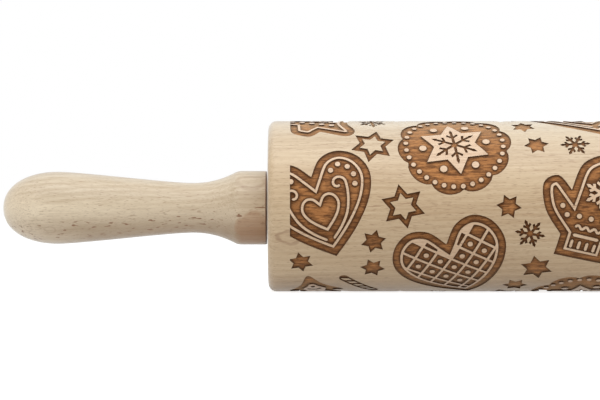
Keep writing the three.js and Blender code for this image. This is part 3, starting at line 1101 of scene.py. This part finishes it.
def beech_colour(tree, pale, deep, place, turn, swirls, layers, patches, flecks):
    """Bare beech: growth rings, fine grain along the pin, paler and browner layers, which on these pieces
    mostly paint light and shade, and short brown flecks.
    """
    rings = growth_rings(tree, place, turn)
    broad = noise(tree, BROAD_FIGURE, detail=2, roughness=0.5, move=place)
    grain = noise(tree, FINE_GRAIN, detail=4, roughness=0.65, move=place)
    broad_share = product(tree, spread(tree, broad), BROAD_AMOUNT)
    grain_share = product(tree, ramp(tree, grain, 0.3, 0.72), GRAIN_AMOUNT)
    figure = total(tree, total(tree, product(tree, rings, RING_AMOUNT), broad_share), grain_share)
    colour = mixed(tree, figure, deep, pale)
    for oval in swirls:
        colour = mixed(tree, product(tree, swirl(tree, oval), oval.amount), colour, oval.tint)
    for layer in layers:
        strength = spread(tree, grain, WEAKEST * layer.amount, STRONGEST * layer.amount)
        colour = mixed(tree, product(tree, within_layer(tree, layer, broad), strength), colour, layer.tint)
    for oval in patches:
        strength = spread(tree, grain, STRONGEST * oval.amount, WEAKEST * oval.amount)
        colour = mixed(tree, product(tree, patch(tree, oval), strength), colour, oval.tint)
    pores = ramp(tree, noise(tree, PORES, detail=1, roughness=0.4, move=place), 0.6, 0.72)
    colour = mixed(tree, product(tree, pores, PORE_AMOUNT), colour, FLECK_BROWN)
    # The turn's numbers also move the flecks' noise
    return mixed(tree, fleck_share(tree, flecks, turn, broad), colour, FLECK_BROWN), grain


def finish_wood(tree, colour, roughness, bump, settings):
    """Makes a surface of wood, with settings that are the same all over it."""
    normal = add(tree, "Bump", bump)
    inputs = {"Base Color": colour, "Roughness": roughness, "Normal": normal, **settings}
    wood = add(tree, "BsdfPrincipled", inputs)
    new_node(tree, "OutputMaterial", {"Surface": wood})


SANDED = {"Specular IOR Level": 0.7, "Sheen Weight": 0.9, "Sheen Roughness": 0.35}
CHARRED = {
    "Specular IOR Level": 0.2,
    "Sheen Weight": 1,
    "Sheen Roughness": 0.5,
    "Sheen Tint": (1, 0.72, 0.45, 1),
}


def bare_beech(name, pale, deep, place, turn=(0, 0, 0), swirls=(), layers=(), patches=(), flecks=FINE_FLECKS):
    """Sanded beech. The place and turn set where the piece lies in the tree."""
    material, tree = material_tree(name)
    colour, grain = beech_colour(tree, pale, deep, place, turn, swirls, layers, patches, flecks)
    bump = {"Height": grain, "Strength": 0.18, "Distance": 0.0003}
    finish_wood(tree, colour, spread(tree, grain, 0.56, 0.46), bump, SANDED)
    return material


def burnt_beech(name, pale, deep, dark, scorch_and_shade):
    """The engraving's floor: wood burnt brown, streaked along the grain and darkest along its edges, partly
    real scorch and partly painted occlusion shade.
    """
    material, tree = material_tree(name)
    streaks = noise(tree, BURNT_STREAKS, detail=4, roughness=0.75)
    patches = noise(tree, BURNT_PATCHES, detail=3, roughness=0.6, move=(0.3, 0, 0))
    fibres = noise(tree, BURNT_FIBRES, detail=2, roughness=0.6, move=(0.1, 0, 0))
    colour = mixed(tree, ramp(tree, streaks, 0.36, 0.64), deep, pale)
    colour = mixed(tree, ramp(tree, patches, 0.52, 0.38, to_high=0.72), colour, dark)
    colour = mixed(tree, ramp(tree, fibres, 0.53, 0.64, to_high=0.8), colour, dark)
    # Darker where the walls close in, from an occlusion mask: real edge scorch and painted shade in the
    # recesses.
    openness = add(tree, "AmbientOcclusion", {"Distance": 0.003}, output="AO", samples=8, only_local=True)
    colour = mixed(tree, ramp(tree, openness, 0.985, 0.84, to_high=0.92), colour, scorch_and_shade)
    height = total(tree, product(tree, streaks, 0.6), product(tree, fibres, 0.5))
    bump = {"Height": height, "Strength": 0.6, "Distance": 0.0004}
    finish_wood(tree, colour, spread(tree, streaks, 0.9, 0.75), bump, CHARRED)
    return material


ROLLER_PLACE = (0.02, 0.012, 0.06)
ROLLER_TURN = (0, 0.05, 0.03)
# Browner tint: painted shade on the left handle's underside, browner heartwood on the right handle's back.
HEARTWOOD_AND_SHADE = linear(140, 104, 72)

roller_beech = bare_beech(
    "roller_beech",
    pale=linear(213, 187, 151),
    deep=linear(180, 148, 111),
    place=ROLLER_PLACE,
    turn=ROLLER_TURN,
    swirls=[Oval((-0.1084, -0.0293, 0.0201), (0.009, 0.012, 0.006), FLECK_BROWN, 0.5)],
    # Paler, greyer layer along the roller's top: a painted highlight where the top light falls.
    layers=[Layer((0.02, 0.1, 1), 0.0525, BEYOND, 0.009, linear(209, 194, 170), 0.4)],
)
icing_beech = bare_beech(
    "toasted_beech",
    pale=linear(224, 193, 160),
    deep=linear(202, 165, 130),
    place=ROLLER_PLACE,
    turn=ROLLER_TURN,
)
left_beech = bare_beech(
    "left_handle_beech",
    pale=linear(207, 187, 158),
    deep=linear(165, 137, 103),
    place=(0.01, 0.03, -0.01),
    turn=(0, 0.09, 0.05),
    swirls=[
        Oval((-0.1225, -0.0099, 0.0402), (0.012, 0.009, 0.0062), FLECK_BROWN, 0.25),
        Oval((-0.2040, -0.0089, 0.0235), (0.0036, 0.0060, 0.0034), FLECK_BROWN, 0.5),
        Oval((-0.1958, -0.0106, 0.0228), (0.0046, 0.0060, 0.0030), FLECK_BROWN, 0.45),
    ],
    layers=[
        # Paler band round the left handle at the axle's height: painted front light on the grip.
        Layer((0.02, 0, 1), 0.025, 0.0305, 0.004, linear(246, 227, 197), 0.75),
        # Browner lower side of the left handle: painted shade where less light reaches the underside.
        Layer((0.12, 0, -1), -0.0435, BEYOND, 0.0065, HEARTWOOD_AND_SHADE, 0.4),
        # Paler lower end of the left handle: painted fill light on the grip's underside.
        Layer((-1, 0, -1.2), 0.168, BEYOND, 0.012, linear(246, 226, 198), 0.5),
    ],
    patches=[Oval((-0.1213, -0.012, 0.0226), (0.0068, 0.014, 0.0072), linear(160, 105, 58), 0.45)],
    flecks=Flecks((360, 1050, 1050), 1, Layer((-0.087, 0, 1), 0.0376, 0.0446, 0.0016)),
)
right_beech = bare_beech(
    "right_handle_beech",
    pale=linear(218, 197, 169),
    deep=linear(182, 154, 122),
    place=(-0.05, -0.02, 0.035),
    turn=(0, -0.07, 0.08),
    layers=[Layer((0, 1, 0.2), 0.011, BEYOND, 0.007, HEARTWOOD_AND_SHADE, 0.5)],
    flecks=Flecks((430, 1250, 1250), 0.7, Layer((0, 1, 0.2), -0.02, 0.004, 0.004)),
)
# Dark end grain on the handles' flat faces, partly painted shade of the gap to the roller.
end_grain_and_gap_shade = bare_beech(
    "end_grain_and_gap_shade_beech",
    pale=linear(128, 92, 62),
    deep=linear(98, 68, 44),
    place=(0.1, 0.02, 0.04),
)
dowel_beech = bare_beech(
    "plain_dowel_beech",
    pale=linear(208, 180, 142),
    deep=linear(176, 143, 104),
    place=(0.1, 0.05, 0.02),
)
floor_burn = burnt_beech(
    "burnt_beech",
    pale=linear(200, 135, 78),
    deep=linear(142, 88, 44),
    dark=linear(86, 45, 14),
    scorch_and_shade=linear(74, 37, 6),
)
wall_burn = burnt_beech(
    "scorched_beech",
    pale=linear(124, 75, 34),
    deep=linear(96, 56, 22),
    dark=linear(70, 36, 8),
    scorch_and_shade=linear(68, 34, 6),
)


# The pin

engraved_roller(roller_beech, floor_burn, wall_burn, icing_beech)
left_handle = turned_handle("turned_handle_left", left_high.x, -1, left_beech, end_grain_and_gap_shade)
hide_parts("handle_left")
right_handle = turned_handle("turned_handle_right", right_low.x, 1, right_beech, end_grain_and_gap_shade)
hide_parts("handle_right")
dress(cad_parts["axle"], dowel_beech)


# Floor, light and camera

def grey(value):
    return (value, value, value, 1)


def white_to_the_eye(tree, lit, seen):
    """Mixes in what the camera and reflections see."""
    rays = new_node(tree, "LightPath").outputs
    seeing = total(tree, rays["Is Camera Ray"], rays["Is Glossy Ray"])
    inputs = {0: seeing, 1: rays["Is Transmission Ray"]}
    seeing = add(tree, "Math", inputs, operation="ADD", use_clamp=True)
    return add(tree, "MixShader", {0: seeing, 1: lit, 2: seen})


def pale_floor():
    """A floor that shows nearly white with a shadow on it, and lights the pin softly from below."""
    bpy.ops.mesh.primitive_plane_add(size=8, location=(0, 0, 0))
    floor = bpy.context.object
    floor.name = "pale_floor"
    material, tree = material_tree("pale_floor")
    matt = add(tree, "BsdfDiffuse", {"Color": grey(0.42)})
    light_table = add(tree, "Emission", {"Color": grey(1), "Strength": 0.22})
    lit = add(tree, "AddShader", {0: matt, 1: light_table})
    glow = add(tree, "Emission", {"Color": grey(1), "Strength": 0.82})
    shadowed = add(tree, "BsdfDiffuse", {"Color": grey(0.45)})
    seen = add(tree, "AddShader", {0: glow, 1: shadowed})
    new_node(tree, "OutputMaterial", {"Surface": white_to_the_eye(tree, lit, seen)})
    dress(floor, material)


def studio_world(strength, colour):
    world = bpy.data.worlds.new("studio")
    bpy.context.scene.world = world
    world.use_nodes = True
    tree = world.node_tree
    tree.nodes.clear()
    lit = add(tree, "Background", {"Color": colour, "Strength": strength})
    seen = add(tree, "Background", {"Color": grey(1), "Strength": 1})
    new_node(tree, "OutputWorld", {"Surface": white_to_the_eye(tree, lit, seen)})


def soft_lamp(name, place, target, size, power, colour):
    lamp = bpy.data.lights.new(name, "AREA")
    lamp.shape = "RECTANGLE"
    lamp.size, lamp.size_y = size
    lamp.energy = power
    lamp.color = colour
    holder = new_object(name, lamp)
    holder.location = place
    holder.rotation_euler = (Vector(target) - Vector(place)).to_track_quat("-Z", "Y").to_euler()


def front_camera(middle, height, width_seen, distance):
    """A camera square to the pin, whose long lens sees a given width at the axle."""
    camera = bpy.data.cameras.new("camera")
    camera.sensor_width = 36
    camera.lens = camera.sensor_width * distance / width_seen
    camera.clip_end = 100
    holder = new_object("camera", camera)
    holder.location = (middle, -distance, height)
    holder.rotation_euler = (math.pi / 2, 0, 0)
    bpy.context.scene.camera = holder


SEEN_PART = (-0.1, 0, 0.03)  # the middle of what the photograph shows of the pin

pale_floor()
studio_world(strength=0.6, colour=(1, 0.98, 0.93, 1))
soft_lamp("top_lamp", (-0.1, -0.4, 0.9), SEEN_PART, size=(1.5, 0.8), power=9.8, colour=(0.86, 0.93, 1))
soft_lamp("back_lamp", (-0.1, 0.5, 0.75), SEEN_PART, size=(1.5, 0.5), power=2.4, colour=(0.6, 0.83, 1))
front_camera(middle=-0.1043, height=0.0338, width_seen=0.2222, distance=0.9)
bpy.context.scene.view_settings.view_transform = "Standard"
